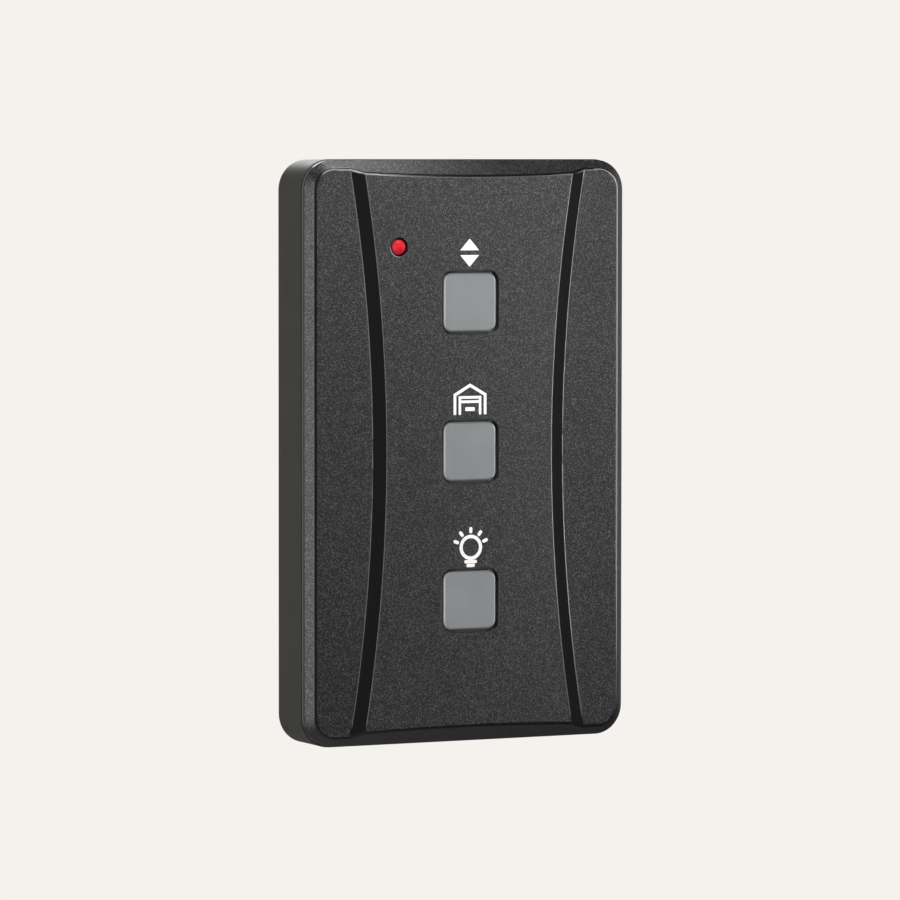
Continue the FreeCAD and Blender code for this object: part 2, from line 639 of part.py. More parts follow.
def crystal_can():
    """Flat metal crystal can with rounded corners."""
    top = BOARD_FRONT + CRYSTAL_HEIGHT
    return prism(CRYSTAL_LENGTH, CRYSTAL_WIDTH, CRYSTAL_HEIGHT / 2, BOARD_FRONT, top, CRYSTAL_X, CRYSTAL_Z)


def supply_capacitor():
    """Round can on a square base."""
    side = 2 * CAPACITOR_RADIUS + CAPACITOR_BASE / 2
    base_top = BOARD_FRONT + CAPACITOR_BASE
    can_top = BOARD_FRONT + CAPACITOR_HEIGHT
    base = block(side, side, BOARD_FRONT, base_top, CAPACITOR_X, CAPACITOR_Z)
    return base.fuse(rod(CAPACITOR_RADIUS, base_top, can_top, CAPACITOR_X, CAPACITOR_Z))


def chip_parts(x, low_z):
    """Row of small block parts, one above the other."""
    parts = []
    for i in range(CHIP_PART_COUNT):
        z = low_z + i * CHIP_PART_PITCH
        top = BOARD_FRONT + CHIP_PART_HEIGHT
        parts.append(block(CHIP_PART_LENGTH, CHIP_PART_WIDTH, BOARD_FRONT, top, x, z))
    return parts


def antenna_wire():
    """Flat wire bent like a staple, which stands on the board along its right edge."""
    foot = BOARD_BACK - LEAD_TAIL
    crest = BOARD_FRONT + ANTENNA_RISE
    room = ANTENNA_LENGTH - 2 * ANTENNA_THICKNESS
    inside = block(ANTENNA_WIDTH, room, foot, crest - ANTENNA_THICKNESS, ANTENNA_X)
    return block(ANTENNA_WIDTH, ANTENNA_LENGTH, foot, crest, ANTENNA_X).cut(inside)


def coin_cell():
    """Coin cell turned from its side outline: steel can towards the door, smaller cap towards the board."""
    step = CELL_FRONT - CELL_CAP_HEIGHT
    points = [(0, CELL_BACK), (CELL_RADIUS, CELL_BACK), (CELL_RADIUS, step),
              (CELL_CAP_RADIUS, step), (CELL_CAP_RADIUS, CELL_FRONT), (0, CELL_FRONT)]
    return turned(points, BAY_Z)


def battery_holder():
    """Plastic ring on the back of the board, notched for the plus contact and for a fingertip."""
    inner = CELL_RADIUS + HOLDER_GAP
    back = BOARD_BACK - HOLDER_HEIGHT
    ring = rod(inner + HOLDER_WALL, back, BOARD_BACK, 0, BAY_Z)
    ring = ring.cut(rod(inner, back, BOARD_BACK, 0, BAY_Z))
    reach = inner + HOLDER_WALL
    contact_notch = block(reach, HOLDER_NOTCH, back, BOARD_BACK, reach / 2, BAY_Z)
    finger_notch = block(HOLDER_NOTCH, reach, back, BOARD_BACK - HOLDER_HEIGHT / 3, 0, BAY_Z - reach / 2)
    return ring.cut(contact_notch).cut(finger_notch)


def plus_contact():
    """Bent strip that touches the side of the coin cell."""
    touch = CELL_RADIUS + CONTACT_TOUCH_GAP
    foot_end = touch + PLUS_CONTACT_FOOT
    sheet = BOARD_BACK - CONTACT_THICKNESS
    tip = BOARD_BACK - PLUS_CONTACT_HEIGHT
    points = [(touch, BOARD_BACK), (foot_end, BOARD_BACK), (foot_end, sheet),
              (touch + CONTACT_THICKNESS, sheet), (touch + CONTACT_THICKNESS, tip), (touch, tip)]
    return strip(points, CONTACT_WIDTH, BAY_Z)


def minus_contact():
    """Spring strip under the coin cell: flat on the board, then raised to the cell's cap."""
    half = MINUS_CONTACT_LENGTH / 2
    touch = CELL_FRONT + CONTACT_TOUCH_GAP
    flat = BOARD_BACK - CONTACT_THICKNESS
    slope_start = half - 2 * MINUS_CONTACT_TIP
    tip_start = half - MINUS_CONTACT_TIP
    over = touch + CONTACT_THICKNESS
    points = [(-half, BOARD_BACK), (-half, flat), (slope_start, flat), (tip_start, touch), (half, touch),
              (half, over), (tip_start, over), (slope_start, BOARD_BACK)]
    return strip(points, CONTACT_WIDTH, BAY_Z)


def battery_door():
    """Round twist door: flange, hub ring, three tabs and a coin slot."""
    door = rod(DOOR_RADIUS, DOOR_BACK, DOOR_FLANGE_FRONT, 0, BAY_Z)
    hub_front = CELL_BACK - DOOR_GAP
    door = door.fuse(rod(DOOR_HUB_RADIUS, DOOR_FLANGE_FRONT, hub_front, 0, BAY_Z))
    for i in range(TAB_COUNT):
        tab = ring_sector(DOOR_HUB_BORE, TAB_RADIUS, TAB_BACK, TAB_FRONT, i * 360 / TAB_COUNT, TAB_SWEEP)
        door = door.fuse(tab)
    door = door.cut(rod(DOOR_HUB_BORE, DOOR_BACK + DOOR_FACE, hub_front, 0, BAY_Z))
    slot_front = DOOR_BACK + COIN_SLOT_DEPTH
    slot = block(COIN_SLOT_LENGTH, COIN_SLOT_WIDTH, DOOR_BACK, slot_front, 0, BAY_Z)
    for end in (-COIN_SLOT_LENGTH / 2, COIN_SLOT_LENGTH / 2):
        slot = slot.fuse(rod(COIN_SLOT_WIDTH / 2, DOOR_BACK, slot_front, end, BAY_Z))
    return door.cut(slot).removeSplitter()


def cover_screw(x, z):
    """Self-tapping screw with a cross recess in its head, which faces the wall."""
    head_back = HEAD_SEAT_DEPTH - COVER_SCREW_HEAD
    head = rod(COVER_SCREW_HEAD_RADIUS, head_back, HEAD_SEAT_DEPTH, x, z)
    screw = head.fuse(rod(COVER_SCREW_RADIUS, HEAD_SEAT_DEPTH, HEAD_SEAT_DEPTH + COVER_SCREW_LENGTH, x, z))
    screw = screw.cut(block(RECESS_LENGTH, RECESS_WIDTH, head_back, head_back + RECESS_DEPTH, x, z))
    return screw.cut(block(RECESS_WIDTH, RECESS_LENGTH, head_back, head_back + RECESS_DEPTH, x, z))


def board_screw(x, z):
    """Self-tapping screw with its head on the front of the board."""
    head = rod(BOARD_SCREW_HEAD_RADIUS, BOARD_FRONT, BOARD_FRONT + BOARD_SCREW_HEAD, x, z)
    return head.fuse(rod(BOARD_SCREW_RADIUS, BOARD_FRONT - BOARD_SCREW_LENGTH, BOARD_FRONT, x, z))


def save(name, shapes):
    """Writes one node, and prints its volume and whether it is sound."""
    shape = shapes if isinstance(shapes, Part.Shape) else Part.makeCompound(shapes)
    shape.exportStep("parts/" + name + ".step")
    soundness = "valid" if shape.isValid() else "INVALID"
    print(name, len(shape.Solids), "solids", round(shape.Volume, 2), "mm3", soundness)


os.makedirs("parts", exist_ok=True)
save("rear_case", rear_case())
save("front_cover", front_cover())
for label, key_z in zip(("arrows", "garage", "bulb"), KEY_CENTRES):
    save("key_cap_" + label, key_cap(key_z))
    save("switch_plunger_" + label, switch_plunger(key_z))
save("switch_housings", [switch_housing(z) for z in KEY_CENTRES])
save("switch_frames", [switch_frame(z) for z in KEY_CENTRES])
save("snap_discs", [snap_disc(z) for z in KEY_CENTRES])
save("switch_terminals", [foot for z in KEY_CENTRES for foot in switch_terminals(z)])
save("circuit_board", circuit_board())
save("signal_lamp", signal_lamp())
save("lamp_leads", lamp_leads())
save("radio_chip", radio_chip())
save("radio_chip_pins", radio_chip_pins())
save("crystal_can", crystal_can())
save("supply_capacitor", supply_capacitor())
save("chip_capacitors", chip_parts(CHIP_CAPACITOR_X, CHIP_CAPACITOR_Z))
save("chip_resistors", chip_parts(CHIP_RESISTOR_X, CHIP_RESISTOR_Z - 2 * CHIP_PART_PITCH))
save("antenna_wire", antenna_wire())
save("coin_cell", coin_cell())
save("battery_holder", battery_holder())
save("plus_contact", plus_contact())
save("minus_contact", minus_contact())
save("battery_door", battery_door())
save("cover_screws", [cover_screw(x, z) for x, z in COVER_SCREW_POINTS])
save("board_screws", [board_screw(x, z) for x, z in BOARD_SCREW_POINTS])
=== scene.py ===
import bmesh
import bpy
import math
from mathutils import Matrix, Vector


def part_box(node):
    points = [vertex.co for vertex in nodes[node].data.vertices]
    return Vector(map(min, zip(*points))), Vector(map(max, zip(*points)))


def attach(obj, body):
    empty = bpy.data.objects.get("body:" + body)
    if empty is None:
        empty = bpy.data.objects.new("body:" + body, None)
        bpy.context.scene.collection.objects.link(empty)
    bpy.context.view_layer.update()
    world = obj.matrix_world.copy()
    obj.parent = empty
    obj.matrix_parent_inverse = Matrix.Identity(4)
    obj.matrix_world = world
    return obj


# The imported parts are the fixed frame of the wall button. In metres: X points right, Z up, the front faces -Y.
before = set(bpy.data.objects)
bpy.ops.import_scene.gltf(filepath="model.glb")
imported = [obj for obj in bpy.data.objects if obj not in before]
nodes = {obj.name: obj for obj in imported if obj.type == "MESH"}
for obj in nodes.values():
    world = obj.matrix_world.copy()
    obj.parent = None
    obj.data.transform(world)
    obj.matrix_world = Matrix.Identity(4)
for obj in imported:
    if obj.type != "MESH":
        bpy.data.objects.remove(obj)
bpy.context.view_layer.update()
MM = 0.001


# The camera stands a little over a metre away with a long lens, left of the front and slightly above it.
# Turn, tilt, roll and distance were fitted to the outline, the ramps and the keys in the photograph.
CAMERA_TARGET = Vector((-0.82, -7.0, -0.03)) * MM
CAMERA_DISTANCE = 1.134
CAMERA_TURN = math.radians(27.0)
CAMERA_TILT = math.radians(3.01)
CAMERA_ROLL = math.radians(0.05)
CAMERA_LENS = 230.47

bpy.ops.object.camera_add()
camera = bpy.context.object
camera.name = "camera"
camera.data.lens = CAMERA_LENS
turned = Matrix.Rotation(-CAMERA_TURN, 4, "Z")
tilted = turned @ Matrix.Rotation(math.pi / 2 - CAMERA_TILT, 4, "X")
facing = tilted @ Matrix.Rotation(CAMERA_ROLL, 4, "Z")
stand = CAMERA_TARGET + facing.to_3x3() @ Vector((0, 0, CAMERA_DISTANCE))
camera.matrix_world = Matrix.Translation(stand) @ facing
bpy.context.scene.camera = camera


# The studio: a warm white sweep of paper, which shows the object's shadow close by and fades to an even tone
# further out. The room in front of the object stays dark, as the near black reflections of its ramps ask, and
# reflections see the paper darker, as if a black card lay on it, most of all to the right.
PAPER = (0.913, 0.888, 0.855, 1)
FLOOR_DROP = 0.2
FLOOR_SIZE = 60.0
SHADOW_REACH = (0.25, 0.65)
ROOM_LIGHT = (0.06, 0.06, 0.062, 1)
BEHIND = (0.86, 1.0)
CARD = (0.01, 0.01, 0.01, 1)
CARD_EDGE = (0.03, 0.1)
CARD_SHADE = (0.55, 0.95)

# Each lamp's turn to the right and angle above the floor in degrees, its distance, width and height in
# metres, and its power in watts.
STUDIO_LAMPS = {
    "light_left": (-57, 0, 0.8, 0.45, 0.5, 5.4),
    "light_key": (10, 36, 0.28, 0.1, 0.1, 0.34),
    "light_right": (42, 6, 0.3, 0.03, 0.16, 0.15),
    "light_rim": (74, 8, 0.35, 0.1, 0.24, 0.45),
    "light_side": (115, 0, 0.5, 0.3, 0.4, 0.08),
    "light_near": (-15, 75.5, 0.12, 0.03, 0.03, 0.042),
    "light_back": (160, 30, 0.9, 0.5, 0.5, 2.4),
}


def new_tree(owner):
    """Empty node tree of a material or world."""
    owner.use_nodes = True
    owner.node_tree.nodes.clear()
    return owner.node_tree


def add_node(tree, kind, links=None, **settings):
    """One shader node with its settings and the sockets that feed it."""
    node = tree.nodes.new("ShaderNode" + kind)
    for name, value in settings.items():
        setattr(node, name, value)
    for name, source in (links or {}).items():
        socket = node.inputs[name]
        if isinstance(source, bpy.types.NodeSocket):
            tree.links.new(source, socket)
        else:
            socket.default_value = source
    return node


def math_node(tree, operation, first, second=0.0):
    """Result of one sum on two sockets or numbers."""
    return add_node(tree, "Math", {0: first, 1: second}, operation=operation).outputs[0]


def part_of(tree, vector, axis):
    """One coordinate of a vector."""
    return add_node(tree, "SeparateXYZ", {0: vector}).outputs[axis]


def ramp_between(tree, value, start, end, low=0.0, high=1.0):
    """Value carried from one range to another, held at the ends."""
    sources = {"Value": value, "From Min": start, "From Max": end, "To Min": low, "To Max": high}
    return add_node(tree, "MapRange", sources).outputs["Result"]


def blend(tree, share, first, second):
    """Colour between two colours."""
    return add_node(tree, "Mix", {"Factor": share, 6: first, 7: second}, data_type="RGBA").outputs[2]


def paper_seen(tree, backward):
    """How much of the even paper tone a ray sees: all from the camera, and in a mirror what lies behind."""
    path = add_node(tree, "LightPath").outputs
    mirrored = math_node(tree, "MAXIMUM", path["Is Glossy Ray"], path["Is Transmission Ray"])
    mirrored = math_node(tree, "MULTIPLY", mirrored, ramp_between(tree, backward, *BEHIND))
    return math_node(tree, "MAXIMUM", path["Is Camera Ray"], mirrored)


def soft_box(name, turn, height_angle, distance, width, height, power):
    """Square studio light that faces the object and isn't seen itself."""
    side = math.radians(turn)
    up = math.radians(height_angle)
    way = Vector((math.sin(side) * math.cos(up), -math.cos(side) * math.cos(up), math.sin(up)))
    bpy.ops.object.light_add(type="AREA", location=way * distance)
    light = bpy.context.object
    light.name = name
    light.rotation_euler = way.to_track_quat("Z", "Y").to_euler()
    light.data.shape = "RECTANGLE"
    light.data.size = width
    light.data.size_y = height
    light.data.energy = power
    light.visible_camera = False


world = bpy.data.worlds.new("studio")
bpy.context.scene.world = world
tree = new_tree(world)
direction = add_node(tree, "TexCoord").outputs["Generated"]
seen = paper_seen(tree, part_of(tree, direction, "Y"))
background = add_node(tree, "Background", {"Color": blend(tree, seen, ROOM_LIGHT, PAPER)}).outputs[0]
add_node(tree, "OutputWorld", {"Surface": background})

bpy.ops.mesh.primitive_plane_add(size=FLOOR_SIZE, location=(0, 0, -FLOOR_DROP))
floor = bpy.context.object
floor.name = "floor"
paper = bpy.data.materials.new("paper_sweep")
tree = new_tree(paper)
place = add_node(tree, "NewGeometry").outputs["Position"]
distance = add_node(tree, "VectorMath", {0: place}, operation="LENGTH").outputs["Value"]
backward = math_node(tree, "DIVIDE", part_of(tree, place, "Y"), distance)
even = math_node(tree, "MULTIPLY", ramp_between(tree, distance, *SHADOW_REACH), paper_seen(tree, backward))
mirrored = add_node(tree, "LightPath").outputs["Is Glossy Ray"]
beside = ramp_between(tree, part_of(tree, place, "X"), *CARD_EDGE, *CARD_SHADE)
tone = blend(tree, math_node(tree, "MULTIPLY", mirrored, beside), PAPER, CARD)
lit = add_node(tree, "BsdfDiffuse", {"Color": tone}).outputs[0]
glow = add_node(tree, "Emission", {"Color": PAPER}).outputs[0]
sweep = add_node(tree, "MixShader", {0: even, 1: lit, 2: glow}).outputs[0]
add_node(tree, "OutputMaterial", {"Surface": sweep})
floor.data.materials.append(paper)

for name, setting in STUDIO_LAMPS.items():
    soft_box(name, *setting)


# Rear case: one deep tray moulded in black, satin and ungrained on its walls, with the wall keyholes, screw
# pillars and board posts moulded in. The battery door in its floor is the same plastic.
CASE_BLACK = (0.021, 0.021, 0.0202, 1)
CASE_BLACK_WORN = (0.025, 0.025, 0.0242, 1)
CASE_GLOSS = 0.42
CASE_SKIN = (0.25 * MM, 0.002 * MM)
MOULD_CLOUD = 9 * MM
CLOUD_DETAIL = 4.0
SKIN_DETAIL = 3.0
CLOUD_TONES = (0.35, 0.65)
CLOUD_GLOSSES = (0.3, 0.7)
MOULD_GLOSS_DRIFT = 0.04
MOULD_EDGE = 0.1 * MM


def new_finish(name, **values):
    """Material with one Principled shader, its even values on the shader's own sockets."""
    finish = bpy.data.materials.new(name)
    tree = new_tree(finish)
    sockets = {socket.replace("_", " "): value for socket, value in values.items()}
    shader = add_node(tree, "BsdfPrincipled", sockets)
    add_node(tree, "OutputMaterial", {"Surface": shader.outputs[0]})
    return finish, tree, shader, add_node(tree, "TexCoord").outputs


def feed(tree, shader, **sources):
    """Feeds the shader with what varies over the surface."""
    for socket, source in sources.items():
        tree.links.new(source, shader.inputs[socket.replace("_", " ")])


def mottle(tree, place, size, detail=2.0):
    """Cloudy pattern whose blots are about one size across."""
    return add_node(tree, "TexNoise", {"Vector": place, "Scale": 1 / size, "Detail": detail}).outputs["Fac"]


def relief(tree, height, depth, normal=None):
    """Normal of a surface whose pattern stands that far proud."""
    sources = {"Height": height, "Distance": depth}
    if normal is not None:
        sources["Normal"] = normal
    return add_node(tree, "Bump", sources).outputs["Normal"]


def round_edge(tree, radius, samples=6):
    """Normal of a surface whose sharp edges look a little round."""
    return add_node(tree, "Bevel", {"Radius": radius}, samples=samples).outputs["Normal"]


def moulded_plastic(name, colour, worn_colour, roughness, skin, edge=MOULD_EDGE):
    """Moulded plastic: faint clouds in colour and gloss, edges that the mould leaves round, and a fine skin,
    given as the size and the depth of its grain."""
    finish, tree, shader, places = new_finish(name)
    clouds = mottle(tree, places["Object"], MOULD_CLOUD, CLOUD_DETAIL)
    shade = ramp_between(tree, clouds, *CLOUD_TONES)
    glosses = (roughness - MOULD_GLOSS_DRIFT, roughness + MOULD_GLOSS_DRIFT)
    grain_size, grain_depth = skin
    grain = mottle(tree, places["Object"], grain_size, SKIN_DETAIL)
    feed(tree, shader,
         Base_Color=blend(tree, shade, colour, worn_colour),
         Roughness=ramp_between(tree, clouds, *CLOUD_GLOSSES, *glosses),
         Normal=relief(tree, grain, grain_depth, round_edge(tree, edge)))
    return finish


def dress(finish, *names):
    """Puts a finish on CAD nodes."""
    for name in names:
        nodes[name].material_slots[0].material = finish


case_finish = moulded_plastic("case_plastic", CASE_BLACK, CASE_BLACK_WORN, CASE_GLOSS, CASE_SKIN)
dress(case_finish, "rear_case", "battery_door")


# Circuit board: fibreglass laminate under a green solder mask, with copper tracks that show through it. It is
# held on the case's posts by four screws.
MASK_GREEN = (0.012, 0.11, 0.035, 1)
TRACK_GREEN = (0.03, 0.2, 0.07, 1)
TRACK_PITCH = 2.4 * MM
TRACK_LENGTH = 4 * TRACK_PITCH
TRACK_WIDTH = 0.25 * MM
TRACK_SOFTNESS = 0.2
TRACK_RISE = 0.02 * MM
WEAVE_SIZE = 0.6 * MM
WEAVE_SHARE = 0.3
MASK_GLOSS = 0.35

board_finish, tree, shader, places = new_finish("board_laminate", Roughness=MASK_GLOSS)
upright = {"Vector": places["Object"], "Rotation": (math.pi / 2, 0, 0)}
tracks = add_node(tree, "TexBrick", {
    "Vector": add_node(tree, "Mapping", upright).outputs[0], "Scale": 1.0, "Mortar Size": TRACK_WIDTH / 2,
    "Mortar Smooth": TRACK_SOFTNESS, "Brick Width": TRACK_LENGTH, "Row Height": TRACK_PITCH}).outputs["Fac"]
weave = math_node(tree, "MULTIPLY", mottle(tree, places["Object"], WEAVE_SIZE), WEAVE_SHARE)
feed(tree, shader,
     Base_Color=blend(tree, tracks, MASK_GREEN, TRACK_GREEN),
     Normal=relief(tree, math_node(tree, "ADD", tracks, weave), TRACK_RISE))
dress(board_finish, "circuit_board")


# Push switches: moulded bodies and plungers, stamped frames, spring discs and tinned feet, soldered to the
# front of the board under the three keys.
SWITCH_BLACK = (0.02, 0.02, 0.021, 1)
SWITCH_BLACK_WORN = (0.028, 0.028, 0.029, 1)
SWITCH_GLOSS = 0.45
SWITCH_SKIN = (0.15 * MM, 0.003 * MM)
PLUNGER_BLACK = (0.04, 0.04, 0.042, 1)
PLUNGER_BLACK_WORN = (0.055, 0.055, 0.056, 1)
PLUNGER_GLOSS = 0.35
PLUNGER_SKIN = (0.2 * MM, 0.002 * MM)
PLATE_BRIGHT = (0.74, 0.74, 0.72, 1)
PLATE_DULL = (0.6, 0.6, 0.58, 1)
PLATE_GLOSS = 0.28
SPRING_BRIGHT = (0.66, 0.65, 0.62, 1)
SPRING_DULL = (0.5, 0.49, 0.46, 1)
SPRING_GLOSS = 0.32
TIN_BRIGHT = (0.82, 0.82, 0.8, 1)
TIN_DULL = (0.68, 0.68, 0.67, 1)
TIN_GLOSS = 0.34
METAL_CLOUD = 1.5 * MM
METAL_CLOUD_DETAIL = 3.0
METAL_TONES = (0.35, 0.7)
METAL_LINE = 0.12 * MM
METAL_LINE_DEPTH = 0.002 * MM
METAL_LINE_GLOSSES = (0.3, 0.7)
METAL_GLOSS_DRIFT = (-0.06, 0.08)
METAL_EDGE = 0.05 * MM
METAL_EDGE_SAMPLES = 4
NOT_DRAWN = (1, 1, 1)
DRAWN_ACROSS = (0.05, 1, 1)
DRAWN_DEEP = (1, 0.05, 1)
DRAWN_UP = (1, 1, 0.05)


def plated_metal(name, bright, dull, roughness, drawn):
    """Bright metal with fine lines in the way that it was drawn or rolled, and clouds of duller plating."""
    finish, tree, shader, places = new_finish(name, Metallic=1.0)
    clouds = mottle(tree, places["Object"], METAL_CLOUD, METAL_CLOUD_DETAIL)
    stretched = add_node(tree, "Mapping", {"Vector": places["Object"], "Scale": drawn}).outputs[0]
    lines = mottle(tree, stretched, METAL_LINE)
    glosses = [roughness + drift for drift in METAL_GLOSS_DRIFT]
    feed(tree, shader,
         Base_Color=blend(tree, ramp_between(tree, clouds, *METAL_TONES), bright, dull),
         Roughness=ramp_between(tree, lines, *METAL_LINE_GLOSSES, *glosses),
         Normal=relief(tree, lines, METAL_LINE_DEPTH, round_edge(tree, METAL_EDGE, METAL_EDGE_SAMPLES)))
    return finish


switch_finish = moulded_plastic("switch_plastic", SWITCH_BLACK, SWITCH_BLACK_WORN, SWITCH_GLOSS, SWITCH_SKIN)
plunger_finish = moulded_plastic(
    "plunger_plastic", PLUNGER_BLACK, PLUNGER_BLACK_WORN, PLUNGER_GLOSS, PLUNGER_SKIN)
frame_finish = plated_metal("plated_steel", PLATE_BRIGHT, PLATE_DULL, PLATE_GLOSS, DRAWN_UP)
spring_finish = plated_metal("spring_steel", SPRING_BRIGHT, SPRING_DULL, SPRING_GLOSS, DRAWN_ACROSS)
tin_finish = plated_metal("tinned_metal", TIN_BRIGHT, TIN_DULL, TIN_GLOSS, NOT_DRAWN)
dress(switch_finish, "switch_housings", "battery_holder")
dress(plunger_finish, "switch_plunger_arrows", "switch_plunger_garage", "switch_plunger_bulb")
dress(frame_finish, "switch_frames", "crystal_can")
dress(spring_finish, "snap_discs", "plus_contact", "minus_contact")
dress(tin_finish, "switch_terminals", "lamp_leads", "radio_chip_pins")


# Radio parts: a moulded chip, ceramic capacitors, thick-film resistors, an aluminium can and a staple of bare
# copper for the antenna, all soldered to the board.
CHIP_BLACK = (0.02, 0.02, 0.022, 1)
CHIP_BLACK_WORN = (0.03, 0.03, 0.031, 1)
CHIP_GLOSS = 0.6
CHIP_SKIN = (0.1 * MM, 0.006 * MM)
CERAMIC_TAN = (0.42, 0.3, 0.18, 1)
CERAMIC_TAN_PALE = (0.5, 0.37, 0.24, 1)
CERAMIC_GLOSS = 0.5
CERAMIC_SKIN = (0.12 * MM, 0.004 * MM)
CAN_BRIGHT = (0.82, 0.82, 0.84, 1)
CAN_DULL = (0.7, 0.7, 0.72, 1)
CAN_GLOSS = 0.3
COPPER_BRIGHT = (0.9, 0.5, 0.3, 1)
COPPER_DULL = (0.7, 0.34, 0.2, 1)
COPPER_GLOSS = 0.3

chip_finish = moulded_plastic("chip_plastic", CHIP_BLACK, CHIP_BLACK_WORN, CHIP_GLOSS, CHIP_SKIN)
ceramic_finish = moulded_plastic(
    "chip_ceramic", CERAMIC_TAN, CERAMIC_TAN_PALE, CERAMIC_GLOSS, CERAMIC_SKIN)
can_finish = plated_metal("can_metal", CAN_BRIGHT, CAN_DULL, CAN_GLOSS, DRAWN_DEEP)
copper_finish = plated_metal("copper_wire", COPPER_BRIGHT, COPPER_DULL, COPPER_GLOSS, DRAWN_UP)
dress(chip_finish, "radio_chip", "chip_resistors")
dress(ceramic_finish, "chip_capacitors")
dress(can_finish, "supply_capacitor")
dress(copper_finish, "antenna_wire")


# Signal lamp: a domed body of red resin, deep red in the middle, with a painted sheen that turns it pink towards
# its rim and a faint random haze. Its two leads are soldered to the board, and it reaches up through its hole in
# the cover.
LAMP_RED = (0.53, 0.001, 0.011, 1)
# The pink is a painted sheen towards the dome's rim.
LAMP_PAINTED_SHEEN_PINK = (0.6, 0.045, 0.055, 1)
LAMP_GLOSS = 0.5
LAMP_SHINE = 0.25
LAMP_SHEEN_STARTS = 0.72
LAMP_SHEEN_SHARE = 0.8
LAMP_HAZE_SIZE = 0.5 * MM
LAMP_HAZE_SHARE = 0.06
LAMP_HAZE_DEPTH = 0.004 * MM
lamp_low, lamp_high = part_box("signal_lamp")
lamp_middle = (lamp_low + lamp_high) / 2
lamp_radius = (lamp_high.x - lamp_low.x) / 2


def from_point(tree, place, x, z):
    """Distance from a line along Y."""
    offset = add_node(tree, "VectorMath", {0: place, 1: (x, 0, z)}, operation="SUBTRACT").outputs["Vector"]
    aside = add_node(tree, "VectorMath", {0: offset, 1: (1, 0, 1)}, operation="MULTIPLY").outputs["Vector"]
    return add_node(tree, "VectorMath", {0: aside}, operation="LENGTH").outputs["Value"]


lamp_finish, tree, shader, places = new_finish(
    "lamp_lens", Roughness=LAMP_GLOSS, Specular_IOR_Level=LAMP_SHINE)
# Painted sheen: the colour turns pink towards the rim, with a faint random haze on top.
off_centre = from_point(tree, places["Object"], lamp_middle.x, lamp_middle.z)
painted_sheen_and_haze = ramp_between(tree, off_centre, LAMP_SHEEN_STARTS * lamp_radius, lamp_radius, 0.0, LAMP_SHEEN_SHARE)
haze = mottle(tree, places["Object"], LAMP_HAZE_SIZE)
painted_sheen_and_haze = math_node(tree, "ADD", painted_sheen_and_haze, math_node(tree, "MULTIPLY", haze, LAMP_HAZE_SHARE))
feed(tree, shader,
     Base_Color=blend(tree, painted_sheen_and_haze, LAMP_RED, LAMP_PAINTED_SHEEN_PINK),
     Normal=relief(tree, haze, LAMP_HAZE_DEPTH))
dress(lamp_finish, "signal_lamp")


# Front cover: one black moulding. The mould is spark-eroded on the face and on the bevel, which gives a fine
# grain with painted glints, and polished on the ramps, on the rounded rims and on the skirt.
FACE_BLACK = (0.012, 0.012, 0.0123, 1)
LOBE_BLACK = (0.0075, 0.0075, 0.0078, 1)
POLISHED_BLACK = (0.0085, 0.0085, 0.009, 1)
BEVEL_BLACK = (0.006, 0.006, 0.0061, 1)
# Painted light: a lighter black on the bevel's underside.
BEVEL_UNDERSIDE_PAINTED_LIGHT = (0.02, 0.0205, 0.0202, 1)

# A face's slope is how far its normal points to the front: 1 on the flat face, and 0 on the walls.
FACE_SLOPE = (0.9965, 0.998)
BEVEL_SLOPE = 0.7923
BEVEL_SPREAD = (0.008, 0.014)
BEVEL_UNDERSIDE = (-0.5, -0.2)
PANEL_DEPTH = (13.5 * MM, 13.7 * MM)

# The grain: pits of one size with a painted glint, a light speck in the base colour, in some of them, weaker on
# the lobes and the bevel, and none on the undersides.
GRAIN_PAINTED_GLINT = (0.105, 0.105, 0.1065, 1)
GRAIN_SIZE = 0.15 * MM
GRAIN_DEPTH = 0.03 * MM
PAINTED_GLINT_SHARPNESS = 6.0
PAINTED_GLINT_UNDERSIDE = (-0.4, -0.05)
LOBE_PAINTED_GLINT = 0.85
BEVEL_PAINTED_GLINT = 0.7
PIT_SHINES = (0.3, 0.6)
POLISH_SHINE = 0.5
POLISH_GLOSS = 0.14
GRAIN_GLOSSES = (0.33, 0.39)
COVER_CLOUD = 7 * MM
COVER_EDGE = 0.14 * MM

# Painted highlights: light lines painted into the colour of the polished rims, along the ramps, down the right
# edge of the face, at the lower left of the lamp's hole, and round the skirt where it meets the case.
RAMP_PAINTED_HIGHLIGHT = (0.13, 0.13, 0.132, 1)
RAMP_LINE_SLOPE = (0.9784, 0.9814)
RAMP_LINE_REACH = (28 * MM, 29 * MM)
RAMP_LINE_FOOT = (-53.5 * MM, -52.5 * MM)
RIM_PAINTED_HIGHLIGHT = (0.36, 0.36, 0.363, 1)
RIM_STEEPEST = (0.94, 0.95)
RIM_FLATTEST = (0.975, 0.985)
RIM_START = (27.5 * MM, 28.5 * MM)
RIM_FOOT = (-53.5 * MM, -48.5 * MM)
RIM_FADE = (-45 * MM, 20 * MM)
RIM_LOW_SHARE = 0.5
LAMP_HOLE_PAINTED_HIGHLIGHT = (0.24, 0.24, 0.243, 1)
LAMP_LINE_RADIUS = 1.93 * MM
LAMP_LINE_WIDTH = (0.07 * MM, 0.12 * MM)
LAMP_LINE_SIDE = (-2.4 * MM, -1.6 * MM)
SKIRT_PAINTED_HIGHLIGHT = (0.085, 0.085, 0.0852, 1)
SKIRT_SLOPE = (0.1, 0.2)
SKIRT_DEPTH = (11.5 * MM, 11.6 * MM)
SKIRT_UNDERSIDE = (-0.4, -0.1)


def mixed(tree, share, low, high):
    """Number between two numbers."""
    return ramp_between(tree, share, 0.0, 1.0, low, high)


def off_by(tree, value, middle):
    """How far a value lies from a middle value, to either side."""
    return math_node(tree, "ABSOLUTE", math_node(tree, "SUBTRACT", value, middle))


